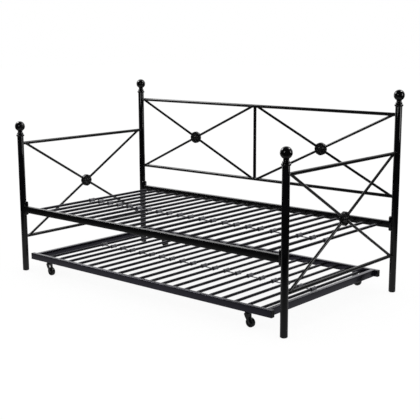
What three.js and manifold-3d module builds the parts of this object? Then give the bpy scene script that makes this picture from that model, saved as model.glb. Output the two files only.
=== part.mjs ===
// Metal twin daybed with a roll-out trundle, in millimetres, +Z up.
// +X runs along the length to the sitter's right, -Y is the open front.
// The origin is on the floor, at the centre of the four posts.

import * as THREE from 'three';
import { mergeVertices } from 'three/addons/utils/BufferGeometryUtils.js';
import Module from 'manifold-3d';

const wasm = await Module();
wasm.setup();

// ---------------------------------------------------------------- driving sizes

const seatGap = 0.3;            // clearance wherever one piece seats on another

// Posts and finials
const postSpacingX = 1956;      // between post axes along the length
const postSpacingY = 1024;      // between post axes across the depth
const postRadius = 19;
const frontPostHeight = 825;
const backPostHeight = 1034;
const postFootRound = 3;
const studRadius = 5;           // finial stud in the top of each post
const studLength = 18;
const finialRingRadius = 24;
const finialRingHeight = 12;
const finialBeadRadius = 18.5;
const finialBeadHeight = 9;
const finialNeckRadius = 14;
const finialNeckStep = 3;       // height of the slope from bead to neck
const finialBallRadius = 30;
const finialBallCentre = 60;    // above the top of the post

// Panels at the back and the two sides
const panelRailRadius = 9.5;
const crossRodRadius = 7.5;
const backTopRailDrop = 44.4;   // rail axis below the top of the post
const sideTopRailDrop = 42.3;
const backBottomRailZ = 540.7;
const sideBottomRailZ = 213.3;
const backCrossInset = 7;       // from the post's surface to the end of a rod's axis
const sideCrossInset = 15;
const midBarCrossInset = 4.5;   // from the mid bar's surface to the same

// Rosette medallions over the rod crossings
const medallionRadius = 37;
const medallionWall = 1.7;      // metal over the rods at the rim
const medallionLobes = 8;
const medallionLobeDepth = 3;
const medallionBevel = 3;
const medallionDomeRadius = 23;
const medallionDomeRise = 3.5;  // dome above the rim's face
const medallionCrownRadius = 10;

// Sleeping deck
const railHeight = 38;
const railDepth = 25;
const railCorner = 3;
const deckRailBottomZ = 363.5;
const deckRailSetIn = 2.5;      // rail centre line inside the post axis
const bracketReach = 8;         // from the post's surface to the rail's end
const bracketHeight = 82;
const bracketMargin = 3;        // bracket wider than the rail, each side
const bracketDrop = 15.5;       // bracket below the rail's bottom
const bracketCorner = 8;
const deckSlatCount = 22;
const deckEndGap = 66.5;        // from a post's surface to the first slat's axis

// Trundle
const trundlePostGap = 44;      // from a post's surface to the long rail's end, on average
const trundleRestOffset = -18;  // the trundle stands this far off the bed's centre in X
const trundleFrontInset = 9;    // front face behind the front posts' axes
const trundleBackReach = 1;     // back face behind the back posts' axes
const trundleSideInset = 22;    // side rail's outer face from the long rail's end
const trundleSlatCount = 20;
const trundleEndGap = 59.5;     // from a side rail's inner face to the first slat's axis

// Slats, shared by the deck and the trundle
const slatRadius = 8;
const slatTabWidth = 24;
const slatTabThickness = 3;
const slatTabLength = 22;
const slatTaperLength = 30;
const slatRoundness = 2;        // superellipse power of the round tube
const slatTabSquareness = 8;    // and of its flattened ends
const sleeveWall = 4;
const sleeveLength = 40;
const linkRadius = 3;
const linkDrop = 5;             // link axis below the slat axis

// Casters
const casterInset = 155;        // stem axis from the end of the long rail
const casterTrail = 18;
const wheelRadius = 25;
const wheelWidth = 18;
const wheelHeadroom = 13.7;     // tread to the underside of the fork's crown
const wheelHubProud = 1;        // hub beyond the tread, each side
const wheelHubRadius = 8;
const wheelTreadDepth = 6.5;
const wheelWebWidth = 8;
const treadShoulderWidth = 4;
const treadShoulderDepth = 2;
const axleRadius = 3;
const axleClearance = 0.3;
const cheekThickness = 2.5;
const cheekClearance = 0.7;     // hub face to cheek
const axleBossRadius = 8;
const crownThickness = 5;
const crownHalfLength = 14;
const raceRadius = 15;
const raceHeight = 6;
const stemRadius = 5;
const stemLength = 22;
const stemClearance = 0.3;

// How finely round shapes are cut
const postSides = 16;
const railSides = 12;
const rodSides = 10;
const slatSides = 6;
const pinSides = 8;
const stemSides = 12;
const wheelSides = 12;
const ballSteps = 5;
const lobeSteps = 2;
const hornSteps = 3;
const cornerSteps = 2;

// Worked out from the sizes above
const halfLength = postSpacingX / 2;
const halfDepth = postSpacingY / 2;
const deckRailY = halfDepth - deckRailSetIn;
const trundleLength = postSpacingX - 2 * (postRadius + trundlePostGap);
const trundleDepth = postSpacingY - trundleFrontInset + trundleBackReach;
const trundleCentreY = (trundleFrontInset + trundleBackReach) / 2;
const trundleLongRailY = (trundleDepth - railDepth) / 2;
const casterStemX = trundleLength / 2 - casterInset;
const casterHeight = 2 * wheelRadius + wheelHeadroom + crownThickness + raceHeight + seatGap;

// ---------------------------------------------------------------- materials

const blackPowderCoat = (name) => new THREE.MeshStandardMaterial({
  name, color: 0x141419, roughness: 0.35, metalness: 0.6,
});
const forkSteel = () => new THREE.MeshStandardMaterial({
  name: 'caster_fork', color: 0x0c0c0e, roughness: 0.45, metalness: 0.5,
});
const wheelPlastic = () => new THREE.MeshStandardMaterial({
  name: 'caster_wheel', color: 0x0d0d0f, roughness: 0.55, metalness: 0,
});

// ---------------------------------------------------------------- solid helpers

// A closed geometry becomes a solid once its shared vertices are merged.
function toSolid(geometry) {
  const bare = geometry.clone();
  bare.deleteAttribute('normal');
  bare.deleteAttribute('uv');
  const merged = mergeVertices(bare, 1e-4);
  const corners = merged.index.array;
  const triangles = [];
  for (let i = 0; i < corners.length; i += 3) {
    const [a, b, c] = [corners[i], corners[i + 1], corners[i + 2]];
    if (a !== b && b !== c && c !== a) triangles.push(a, b, c);
  }
  return new wasm.Manifold(new wasm.Mesh({
    numProp: 3,
    vertProperties: new Float32Array(merged.attributes.position.array),
    triVerts: new Uint32Array(triangles),
  }));
}

function toGeometry(solid) {
  const mesh = solid.getMesh();
  const geometry = new THREE.BufferGeometry();
  geometry.setAttribute('position', new THREE.BufferAttribute(mesh.vertProperties, 3));
  geometry.setIndex(new THREE.BufferAttribute(mesh.triVerts, 1));
  return geometry;
}

function join(...geometries) {
  const solids = geometries.map(toSolid);
  return toGeometry(solids.reduce((whole, next) => whole.add(next)));
}

function cut(geometry, cutters) {
  const whole = toSolid(geometry);
  return toGeometry(cutters.map(toSolid).reduce((rest, next) => rest.subtract(next), whole));
}

// A round bar from one point to another.
function rod(from, to, radius, sides) {
  const start = new THREE.Vector3(...from);
  const end = new THREE.Vector3(...to);
  const direction = end.clone().sub(start);
  const geometry = new THREE.CylinderGeometry(radius, radius, direction.length(), sides);
  const turn = new THREE.Quaternion().setFromUnitVectors(
    new THREE.Vector3(0, 1, 0), direction.clone().normalize());
  geometry.applyQuaternion(turn);
  const middle = start.add(end).multiplyScalar(0.5);
  return geometry.translate(middle.x, middle.y, middle.z);
}

// A profile of [radius, height] pairs turned about the Z axis.
function revolve(profile, sides) {
  const points = profile.map(([radius, height]) => new THREE.Vector2(radius, height));
  return new THREE.LatheGeometry(points, sides).rotateX(Math.PI / 2);
}

function roundedRectangle(width, height, corner) {
  const [x, y] = [width / 2, height / 2];
  const shape = new THREE.Shape();
  shape.absarc(x - corner, y - corner, corner, 0, Math.PI / 2, false);
  shape.absarc(corner - x, y - corner, corner, Math.PI / 2, Math.PI, false);
  shape.absarc(corner - x, corner - y, corner, Math.PI, Math.PI * 1.5, false);
  shape.absarc(x - corner, corner - y, corner, Math.PI * 1.5, Math.PI * 2, false);
  return shape;
}

// A section drawn in Y (width) and Z (height), pushed along X from one place to another.
function pushAlongX(width, height, corner, fromX, toX) {
  const geometry = new THREE.ExtrudeGeometry(roundedRectangle(height, width, corner), {
    depth: toX - fromX, bevelEnabled: false, curveSegments: cornerSteps,
  });
  return geometry.rotateY(Math.PI / 2).translate(fromX, 0, 0);
}

function namedMesh(name, geometry, material) {
  const mesh = new THREE.Mesh(geometry, material);
  mesh.name = name;
  return mesh;
}

const bed = new THREE.Group();

// ---------------------------------------------------------------- posts and finials

// The finial's stud, or the socket for it when it is drawn larger, about a post's top.
function stud(top, extra) {
  return rod([0, 0, top - studLength - extra], [0, 0, top + finialRingHeight / 2],
    studRadius + extra, pinSides);
}

function postTube(height) {
  const tube = revolve([
    [0, 0], [postRadius - postFootRound, 0], [postRadius, postFootRound],
    [postRadius, height], [0, height],
  ], postSides);
  return cut(tube, [stud(height, seatGap)]);
}

// The saddle plate that is welded to a post and carries the end of a deck rail.
function saddlePlate(inwardX, inwardY) {
  const width = railDepth + 2 * bracketMargin;
  const plate = pushAlongX(width, bracketHeight, bracketCorner, 0, postRadius + bracketReach);
  if (inwardX < 0) plate.rotateZ(Math.PI);
  const middleZ = deckRailBottomZ - bracketDrop + bracketHeight / 2;
  return plate.translate(0, inwardY * deckRailSetIn, middleZ);
}

function finialShape() {
  const beadTop = finialRingHeight + finialBeadHeight;
  const ballStart = -Math.acos(finialNeckRadius / finialBallRadius);
  const ball = [];
  for (let step = 0; step < ballSteps; step += 1) {
    const angle = THREE.MathUtils.lerp(ballStart, Math.PI / 2, step / ballSteps);
    ball.push([
      finialBallRadius * Math.cos(angle),
      finialBallCentre + finialBallRadius * Math.sin(angle),
    ]);
  }
  const knob = revolve([
    [0, seatGap], [finialRingRadius, seatGap], [finialRingRadius, finialRingHeight],
    [finialBeadRadius, finialRingHeight], [finialBeadRadius, beadTop],
    [finialNeckRadius, beadTop + finialNeckStep],
    ...ball, [0, finialBallCentre + finialBallRadius],
  ], postSides);
  return join(knob, stud(0, 0));
}

const corners = [
  { name: 'front_left', x: -1, y: -1, height: frontPostHeight },
  { name: 'front_right', x: 1, y: -1, height: frontPostHeight },
  { name: 'back_left', x: -1, y: 1, height: backPostHeight },
  { name: 'back_right', x: 1, y: 1, height: backPostHeight },
];

for (const corner of corners) {
  const upright = new THREE.Group();
  upright.position.set(corner.x * halfLength, corner.y * halfDepth, 0);
  const tube = join(postTube(corner.height), saddlePlate(-corner.x, -corner.y));
  upright.add(namedMesh(`post_${corner.name}`, tube, blackPowderCoat('post')));
  const finial = namedMesh(`finial_${corner.name}`, finialShape(), blackPowderCoat('finial'));
  finial.position.z = corner.height;
  upright.add(finial);
  bed.add(upright);
}

// ---------------------------------------------------------------- crossed panels

// Panels are drawn in their own XZ plane and stand between two uprights.
function uprightCutter(x, radius, sides) {
  return rod([x, 0, 0], [x, 0, backPostHeight], radius + seatGap, sides);
}

function railCutter(z, halfSpan) {
  return rod([-halfSpan, 0, z], [halfSpan, 0, z], panelRailRadius + seatGap, railSides);
}

function panelRail(z, halfSpan) {
  const bar = rod([-halfSpan, 0, z], [halfSpan, 0, z], panelRailRadius, railSides);
  const posts = [-halfSpan, halfSpan].map((x) => uprightCutter(x, postRadius, postSides));
  return cut(bar, posts);
}

// The two rods of one bay run from corner to corner and cross at its middle.
function crossedRods(bay, radius) {
  const { left, right, bottomZ, topZ } = bay;
  const rising = rod([left, 0, bottomZ], [right, 0, topZ], radius, rodSides);
  const falling = rod([left, 0, topZ], [right, 0, bottomZ], radius, rodSides);
  return join(rising, falling);
}

// A scalloped rosette, domed on both faces, cast around the crossing of the rods.
// A revolved casting is drawn in between its lobes, most at the rim and least at the crown.
function rosette(bay) {
  const halfThickness = crossRodRadius + seatGap + medallionWall;
  const domeHeight = halfThickness + medallionDomeRise;
  const face = [
    [medallionCrownRadius, domeHeight],
    [medallionDomeRadius, halfThickness],
    [medallionRadius - medallionBevel, halfThickness],
    [medallionRadius, halfThickness - medallionBevel],
  ];
  const underside = face.map(([radius, height]) => [radius, -height]);
  const profile = [[0, -domeHeight], ...underside, ...face.reverse(), [0, domeHeight]];
  const casting = revolve(profile, medallionLobes * lobeSteps);
  const position = casting.attributes.position;
  for (let i = 0; i < position.count; i += 1) {
    const [x, y] = [position.getX(i), position.getY(i)];
    const radius = Math.hypot(x, y);
    if (radius > medallionDomeRadius + seatGap) {
      const lobe = Math.abs(Math.cos(Math.atan2(y, x) * medallionLobes / 2));
      const scale = 1 - medallionLobeDepth * (1 - lobe) / radius;
      position.setXY(i, x * scale, y * scale);
    }
  }
  casting.rotateX(Math.PI / 2);
  casting.translate((bay.left + bay.right) / 2, 0, (bay.bottomZ + bay.topZ) / 2);
  return cut(casting, [crossedRods(bay, crossRodRadius + seatGap)]);
}

function addBay(panel, name, bay, bayCutters) {
  const rods = cut(crossedRods(bay, crossRodRadius), bayCutters);
  panel.add(namedMesh(`${name}_cross`, rods, blackPowderCoat('panel_rod')));
  panel.add(namedMesh(`${name}_medallion`, rosette(bay), blackPowderCoat('medallion')));
}

function backPanel() {
  const panel = new THREE.Group();
  const levels = { bottomZ: backBottomRailZ, topZ: backPostHeight - backTopRailDrop };
  const rails = [railCutter(levels.bottomZ, halfLength), railCutter(levels.topZ, halfLength)];
  const coat = blackPowderCoat('panel_rail');
  panel.add(namedMesh('back_top_rail', panelRail(levels.topZ, halfLength), coat));
  panel.add(namedMesh('back_bottom_rail', panelRail(levels.bottomZ, halfLength), coat.clone()));
  const bar = rod([0, 0, levels.bottomZ], [0, 0, levels.topZ], panelRailRadius, railSides);
  panel.add(namedMesh('back_mid_bar', cut(bar, rails), coat.clone()));
  const uprights = [
    uprightCutter(0, panelRailRadius, railSides),
    uprightCutter(-halfLength, postRadius, postSides),
    uprightCutter(halfLength, postRadius, postSides),
  ];
  const inner = panelRailRadius + midBarCrossInset;
  const outer = halfLength - postRadius - backCrossInset;
  const cutters = [...rails, ...uprights];
  addBay(panel, 'back_left', { left: -outer, right: -inner, ...levels }, cutters);
  addBay(panel, 'back_right', { left: inner, right: outer, ...levels }, cutters);
  panel.position.y = halfDepth;
  return panel;
}

function sidePanel(name, direction) {
  const panel = new THREE.Group();
  const levels = { bottomZ: sideBottomRailZ, topZ: frontPostHeight - sideTopRailDrop };
  const rails = [railCutter(levels.bottomZ, halfDepth), railCutter(levels.topZ, halfDepth)];
  const posts = [-halfDepth, halfDepth].map((x) => uprightCutter(x, postRadius, postSides));
  const coat = blackPowderCoat('panel_rail');
  panel.add(namedMesh(`${name}_top_rail`, panelRail(levels.topZ, halfDepth), coat));
  panel.add(namedMesh(`${name}_bottom_rail`, panelRail(levels.bottomZ, halfDepth), coat.clone()));
  const reach = halfDepth - postRadius - sideCrossInset;
  addBay(panel, name, { left: -reach, right: reach, ...levels }, [...rails, ...posts]);
  panel.rotation.z = Math.PI / 2;
  panel.position.x = direction * halfLength;
  return panel;
}

bed.add(backPanel(), sidePanel('left_side', -1), sidePanel('right_side', 1));

// ---------------------------------------------------------------- slats

// One tube along Y, flattened to a tab at both ends, with a sleeve at its middle.
// The cylinder's rings are moved to the stations where its section changes.
function slatTube(length) {
  const end = length / 2;
  const tab = [slatTabWidth / 2, slatTabThickness / 2, slatTabSquareness];
  const tube = [slatRadius, slatRadius, slatRoundness];
  const sleeve = [slatRadius + sleeveWall, slatRadius + sleeveWall, slatRoundness];
  const half = [
    [end, tab], [end - slatTabLength, tab], [end - slatTabLength - slatTaperLength, tube],
    [sleeveLength / 2, tube], [sleeveLength / 2, sleeve],
  ];
  const stations = [...half, ...half.map(([y, section]) => [-y, section]).reverse()];
  const intervals = stations.length - 1;
  const geometry = new THREE.CylinderGeometry(
    slatRadius, slatRadius, length, slatSides, intervals, false, Math.PI / slatSides);
  const position = geometry.attributes.position;
  for (let i = 0; i < position.count; i += 1) {
    const [x, y, z] = [position.getX(i), position.getY(i), position.getZ(i)];
    const ring = Math.round((0.5 - y / length) * intervals);
    const [place, [halfWidth, halfHeight, power]] = stations[ring];
    const onAxis = Math.hypot(x, z) < slatRadius / 2;
    const blunt = (part) => Math.sign(part) * Math.abs(part / slatRadius) ** (2 / power);
    position.setXYZ(i, onAxis ? 0 : halfWidth * blunt(x), place, onAxis ? 0 : halfHeight * blunt(z));
  }
  return geometry;
}

// Two neighbouring slats and the link between their sleeves.
function slatPair(length, pitch) {
  const left = slatTube(length).translate(-pitch / 2, 0, 0);
  const right = slatTube(length).translate(pitch / 2, 0, 0);
  const link = rod([-pitch / 2, 0, -linkDrop], [pitch / 2, 0, -linkDrop], linkRadius, slatSides);
  return join(left, right, link);
}

// A row of evenly spaced slats, linked in pairs. Slats left over at the ends stay single.
function slatRow(name, { count, from, to, length, startsSingle }) {
  const row = new THREE.Group();
  const pitch = (to - from) / (count - 1);
  const add = (label, geometry, place) => {
    const slat = namedMesh(`${name}_slat_${label}`, geometry, blackPowderCoat('slat'));
    slat.position.x = from + place * pitch;
    row.add(slat);
  };
  let next = 0;
  if (startsSingle) {
    add('left', slatTube(length), next);
    next += 1;
  }
  for (let pair = 1; next + 1 < count; pair += 1) {
    add(`pair_${pair}`, slatPair(length, pitch), next + 0.5);
    next += 2;
  }
  if (next < count) add('right', slatTube(length), next);
  return row;
}

// ---------------------------------------------------------------- sleeping deck

function sleepingDeck() {
  const deck = new THREE.Group();
  const postFace = halfLength - postRadius;
  const railEnd = postFace - bracketReach - seatGap;
  for (const [name, side] of [['front', -1], ['back', 1]]) {
    const bar = pushAlongX(railDepth, railHeight, railCorner, -railEnd, railEnd);
    const rail = namedMesh(`deck_${name}_rail`, bar, blackPowderCoat('rail'));
    rail.position.y = side * deckRailY;
    deck.add(rail);
  }
  deck.add(slatRow('deck', {
    count: deckSlatCount,
    from: deckEndGap - postFace,
    to: postFace - deckEndGap,
    length: 2 * (deckRailY - railDepth / 2 - seatGap),
    startsSingle: true,
  }));
  deck.position.z = deckRailBottomZ + railHeight / 2;
  return deck;
}

bed.add(sleepingDeck());

// ---------------------------------------------------------------- trundle frame

// A front or back rail, with a socket under each end for a caster's stem.
function trundleLongRail() {
  const reach = trundleLength / 2;
  const bar = pushAlongX(railDepth, railHeight, railCorner, -reach, reach);
  const socketTop = stemLength + stemClearance - railHeight / 2;
  const sockets = [-casterStemX, casterStemX].map((x) => rod(
    [x, 0, -railHeight], [x, 0, socketTop], stemRadius + stemClearance, stemSides));
  return cut(bar, sockets);
}

function trundleFrame() {
  const frame = new THREE.Group();
  for (const [name, side] of [['front', -1], ['back', 1]]) {
    const rail = namedMesh(`trundle_${name}_rail`, trundleLongRail(), blackPowderCoat('rail'));
    rail.position.y = side * trundleLongRailY;
    frame.add(rail);
  }
  const innerY = trundleDepth / 2 - railDepth - seatGap;
  const sideRailX = trundleLength / 2 - trundleSideInset - railDepth / 2;
  for (const [name, side] of [['left', -1], ['right', 1]]) {
    const bar = pushAlongX(railDepth, railHeight, railCorner, -innerY, innerY);
    const rail = namedMesh(`trundle_${name}_rail`, bar, blackPowderCoat('rail'));
    rail.rotation.z = Math.PI / 2;
    rail.position.x = side * sideRailX;
    frame.add(rail);
  }
  const innerX = sideRailX - railDepth / 2;
  frame.add(slatRow('trundle', {
    count: trundleSlatCount,
    from: trundleEndGap - innerX,
    to: innerX - trundleEndGap,
    length: 2 * innerY,
    startsSingle: false,
  }));
  frame.position.set(trundleRestOffset, trundleCentreY, casterHeight + railHeight / 2);
  return frame;
}

bed.add(trundleFrame());

// ---------------------------------------------------------------- casters

// Drawn with the stem on the Z axis and the wheel trailing towards +X.
function casterFork() {
  const crownBottom = 2 * wheelRadius + wheelHeadroom;
  const crownTop = crownBottom + crownThickness;
  const halfGap = wheelWidth / 2 + wheelHubProud + cheekClearance;
  const halfWidth = halfGap + cheekThickness;
  const side = new THREE.Shape();
  side.moveTo(-crownHalfLength, crownTop);
  side.quadraticCurveTo(-crownHalfLength, crownBottom - axleBossRadius,
    casterTrail - axleBossRadius, wheelRadius);
  side.absarc(casterTrail, wheelRadius, axleBossRadius, Math.PI, Math.PI * 2, false);
  side.quadraticCurveTo(casterTrail + axleBossRadius, crownBottom, crownHalfLength, crownTop);
  const horn = new THREE.ExtrudeGeometry(side, {
    depth: 2 * halfWidth, bevelEnabled: false, curveSegments: hornSteps,
  });
  horn.rotateX(Math.PI / 2).translate(0, halfWidth, 0);
  const slotLength = 4 * (casterTrail + wheelRadius);
  const slot = new THREE.BoxGeometry(slotLength, 2 * halfGap, 2 * crownBottom);
  const railBottom = crownTop + raceHeight + seatGap;
  const race = rod([0, 0, crownBottom], [0, 0, crownTop + raceHeight], raceRadius, stemSides);
  const stem = rod([0, 0, crownBottom], [0, 0, railBottom + stemLength], stemRadius, stemSides);
  const axle = rod([casterTrail, -halfWidth, wheelRadius], [casterTrail, halfWidth, wheelRadius],
    axleRadius, pinSides);
  return join(cut(horn, [slot]), race, stem, axle);
}

// Bored hub, thin web and rounded tread, turned about the axle.
function casterWheel() {
  const [hubFace, web, tread] = [wheelWidth / 2 + wheelHubProud, wheelWebWidth / 2, wheelWidth / 2];
  const rim = wheelRadius - wheelTreadDepth;
  const upper = [
    [axleRadius + axleClearance, hubFace], [wheelHubRadius, hubFace],
    [wheelHubRadius, web], [rim, web],
    [rim, tread], [wheelRadius - treadShoulderDepth, tread],
    [wheelRadius, tread - treadShoulderWidth],
  ];
  const lower = upper.map(([radius, height]) => [radius, -height]);
  const profile = [...lower, ...upper.reverse(), lower[0]];
  return revolve(profile, wheelSides).rotateX(Math.PI / 2);
}

for (const corner of corners) {
  const caster = new THREE.Group();
  const stemX = trundleRestOffset + corner.x * casterStemX;
  const stemY = trundleCentreY + corner.y * trundleLongRailY;
  caster.position.set(stemX, stemY, 0);
  caster.add(namedMesh(`caster_fork_${corner.name}`, casterFork(), forkSteel()));
  const wheel = namedMesh(`caster_wheel_${corner.name}`, casterWheel(), wheelPlastic());
  wheel.position.set(casterTrail, 0, wheelRadius);
  caster.add(wheel);
  bed.add(caster);
}

export default bed;
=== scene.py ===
"""The look of a black metal daybed with a roll-out trundle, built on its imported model.

Lengths in this script are millimetres, in the frame of the CAD model, until a mesh is made.
The camera and the studio are in metres.
"""

import math

import bmesh
import bpy
from mathutils import Matrix, Vector


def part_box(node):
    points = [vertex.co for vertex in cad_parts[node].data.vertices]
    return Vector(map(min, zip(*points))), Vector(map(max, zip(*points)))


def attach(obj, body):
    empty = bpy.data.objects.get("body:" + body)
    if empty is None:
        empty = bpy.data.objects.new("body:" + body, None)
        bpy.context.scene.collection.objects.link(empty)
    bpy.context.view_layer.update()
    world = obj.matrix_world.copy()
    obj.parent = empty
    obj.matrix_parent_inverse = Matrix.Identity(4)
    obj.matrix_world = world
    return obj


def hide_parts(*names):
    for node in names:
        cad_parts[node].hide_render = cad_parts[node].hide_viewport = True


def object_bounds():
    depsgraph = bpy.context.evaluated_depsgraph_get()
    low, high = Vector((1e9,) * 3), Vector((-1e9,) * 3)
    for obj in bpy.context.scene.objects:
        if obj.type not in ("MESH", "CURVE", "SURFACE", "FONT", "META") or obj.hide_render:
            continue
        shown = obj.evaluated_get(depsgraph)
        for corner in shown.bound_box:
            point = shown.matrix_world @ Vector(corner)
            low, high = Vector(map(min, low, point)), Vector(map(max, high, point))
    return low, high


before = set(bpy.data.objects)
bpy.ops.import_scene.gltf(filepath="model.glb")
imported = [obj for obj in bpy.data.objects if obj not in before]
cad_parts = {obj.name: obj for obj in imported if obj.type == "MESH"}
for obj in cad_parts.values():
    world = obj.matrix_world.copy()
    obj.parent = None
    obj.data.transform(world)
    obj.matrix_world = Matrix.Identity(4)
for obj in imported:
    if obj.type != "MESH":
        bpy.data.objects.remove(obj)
cad_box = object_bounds()

MM = 0.001
TURN = 2 * math.pi
NEARLY_ZERO = 1e-9

# ---------------------------------------------------------------- sizes of the finer pieces

POST_RADIUS = 19.0
POST_FOOT_ROUND, POST_TOP_ROUND = 1.2, 1.0
GLIDE_RADIUS, GLIDE_HEIGHT = 16.5, 3.0
GLIDE_ROUND, GLIDE_FLAT_INSET = 2.2, 3.5
GLIDE_IN_POST = 0.5

# The plate on a post that carries a deck rail. Its middle is PLATE_LIFT above the rail's.
PLATE_WIDTH, PLATE_HEIGHT, PLATE_CORNER, PLATE_LIFT = 31.0, 82.0, 8.0, 6.5
PLATE_IN_POST = 8.0
PLATE_EDGE = ((1.6, 0.0), (0.5, 0.5), (0.0, 1.6))   # (distance behind its face, shrink)
SEAT_GAP = 0.3

RING_RADIUS, RING_HEIGHT, RING_ROUND = 24.0, 12.0, 5.0
RING_FLAT_RADIUS = 5.0
BEAD_RADIUS, BEAD_HEIGHT = 19.3, 10.0
NECK_RADIUS = 14.4
NECK_FLARE = ((1.2, 0.6), (0.0, 2.6), (-0.4, 6.0))  # (added radius, height above the bead)
BALL_RADIUS, BALL_CENTRE = 30.0, 60.0

PANEL_TUBE_RADIUS = 9.5
CROSS_ROD_RADIUS = 7.5
WELD_RADIUS = 1.5
# Half of each rod's run along its panel, between the points where its axis meets the rails
BACK_CROSS_REACH, SIDE_CROSS_REACH = 469.0, 478.0

ROSETTE_LOBES, ROSETTE_LOBE_POINTS = 8, 12
ROSETTE_LOBE_DEPTH, ROSETTE_NOTCH_POWER = 2.0, 1.6
ROSETTE_RIM_HALF, ROSETTE_RIM_ROUND = 10.0, 2.0
ROSETTE_PETAL_RISE = 2.4
ROSETTE_PETAL_POWER, ROSETTE_VALLEY_POWER = 0.8, 0.5
ROSETTE_BUTTON_RADIUS, ROSETTE_GROOVE_RADIUS = 9.0, 12.0
# Where its sections lie, as shares of the way from its middle to its rim
ROSETTE_STATIONS = (0.03, 0.08, 0.13, 0.17, 0.2, 0.225, 0.245, 0.26, 0.3, 0.335, 0.38, 0.45, 0.55,
                    0.65, 0.75, 0.84, 0.91, 0.96, 0.985)

RAIL_CORNER, RAIL_BEVEL = 3.0, 0.5
CAP_LENGTH, CAP_DISH = 2.0, 0.8
# Sections of a rail's end plug: (distance past the tube's end, shrink, corner)
CAP_SECTIONS = (
    (-6.0, 2.0, 1.0),
    (0.0, 2.0, 1.0),
    (0.0, 0.4, RAIL_CORNER - 0.4),
    (CAP_LENGTH / 2, 0.1, RAIL_CORNER),
    (CAP_LENGTH, 1.0, RAIL_CORNER - 1.0),
    (CAP_LENGTH, 3.2, 1.5),
    (CAP_LENGTH - CAP_DISH, 4.2, 1.0),
)

SLAT_RADIUS = 8.0
TAB_HALF_WIDTH, TAB_HALF_THICKNESS = 12.0, 1.5
TAB_LENGTH, TAPER_LENGTH, TAPER_STEPS = 22.0, 30.0, 7
TAB_BEVEL_LENGTH, TAB_BEVEL = 1.0, 0.4
TAB_WELD_INSET, TAB_WELD_SINK = 2.0, 0.4
ROUND_POWER, TAB_POWER = 2.0, 6.0
SLEEVE_RADIUS, SLEEVE_LENGTH, SLEEVE_LIP = 12.0, 40.0, 4.0
SLEEVE_WAIST, SLEEVE_SLOPE, SLEEVE_CHAMFER = 1.2, 1.5, 1.2
SLEEVE_IN_SLAT = 0.2
SLEEVE_RADIUS_IN_CAD = 12.0
LINK_RADIUS, LINK_DROP = 3.0, 5.0
DECK_CLIPS_FORWARD = 34.0

WHEEL_RADIUS, WHEEL_WIDTH = 25.0, 18.0
HUB_RADIUS, HUB_WIDTH, HUB_ROUND = 8.0, 20.0, 0.8
BORE_GAP = 0.3
TREAD_DEPTH, TREAD_ROUND = 6.5, 3.0
WEB_WIDTH, WEB_FILLET = 8.0, 1.2
# The rim's inner side: (added radius, height), with heights from the tread's side, then the web's
RIM_LIP = ((1.0, 0.0), (0.0, -0.8))
RIM_FOOT = ((-0.6, 1.0), (-1.8, 0.0))
SPOKES = 6
SPOKE_SECTION = ((-1.2, -0.5), (1.2, -0.5), (0.9, 2.6), (-0.9, 2.6))    # (across, above the web)
SPOKE_IN_HUB, SPOKE_IN_RIM = 1.0, 0.2

CASTER_TRAIL = 18.0
STEM_RADIUS, STEM_IN_RAIL = 5.0, 20.0
AXLE_RADIUS, AXLE_IN_RIVET = 3.0, 0.2
RIVET_RADIUS, RIVET_SINK, RIVET_START, RIVET_END = 4.6, 0.55, 34, 85
CHEEK_THICKNESS, CHEEK_GAP = 2.5, 21.4
CHEEK_INNER_BEVEL, CHEEK_OUTER_BEVEL = 0.4, 0.6
BOSS_RADIUS = 8.0
CROWN_BOTTOM, CROWN_THICKNESS, CROWN_HALF = 63.7, 5.0, 14.0
CROWN_RISE, CROWN_IN_CHEEK = 0.5, 1.0
RACE_RADIUS, RACE_HEIGHT = 15.0, 6.0
RACE_FOOT_INSET, RACE_IN_CROWN = 4.0, 0.5
RACE_LIP_ROUND, RACE_LOWER_LIP, RACE_UPPER_LIP = 1.2, 1.4, 4.7
RACE_GROOVE_DEPTH, RACE_GROOVE_FROM, RACE_GROOVE_TO = 2.2, 2.9, 3.4

POST_SIDES, TUBE_SIDES, SLAT_SIDES, BEAD_SIDES = 48, 28, 20, 8
FORK_CURVE_STEPS, BOSS_STEPS, BALL_STEPS = 14, 16, 26
CORNERS = ("front_left", "front_right", "back_left", "back_right")
WELD_SLOT = 1       # the weld's paint among a welded piece's materials


# ---------------------------------------------------------------- materials

INK = (0.0010, 0.0010, 0.0013)
SOOT = (0.0022, 0.0022, 0.0028)
GRAPHITE = (0.005, 0.005, 0.0065)
SLATE = (0.0040, 0.0037, 0.0065)
ZINC = (0.03, 0.03, 0.03)
CLIP_DARK, CLIP_PALE = (0.04, 0.04, 0.048), (0.13, 0.13, 0.15)
WHITE_GLOSS = (1.0, 1.0, 1.0, 1.0)
COOL_GLOSS = (0.80, 0.77, 1.0, 1.0)
COAT_SPECULAR = 0.5
RAMP_START, RAMP_END = 0.35, 0.65

# Noise scales, then the strengths and depths (millimetres) of the bumps made from them
CLOUD_SCALE, SHEEN_SCALE, PEEL_SCALE, FLOW_SCALE = 14.0, 30.0, 900.0, 120.0
MOTTLE_SCALE, SCUFF_SCALE, GRAIN_SCALE = 60.0, 160.0, 1500.0
RIPPLE_SCALE = 420.0
SCUFF_STRETCH = (1, 6, 1)
PEEL_DEPTH, FLOW_DEPTH = 0.10, 0.25
GRAIN_STRENGTH, GRAIN_DEPTH = 0.2, 0.08
RIPPLE_STRENGTH, RIPPLE_DEPTH = 0.6, 0.8
WELD_SMOOTH, WELD_ROUGH = 0.25, 0.45


def shader_nodes(name):
    """A new material, its node tree and its Principled shader."""
    material = bpy.data.materials.new(name)
    material.use_nodes = True
    tree = material.node_tree
    return material, tree, tree.nodes["Principled BSDF"]


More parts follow.
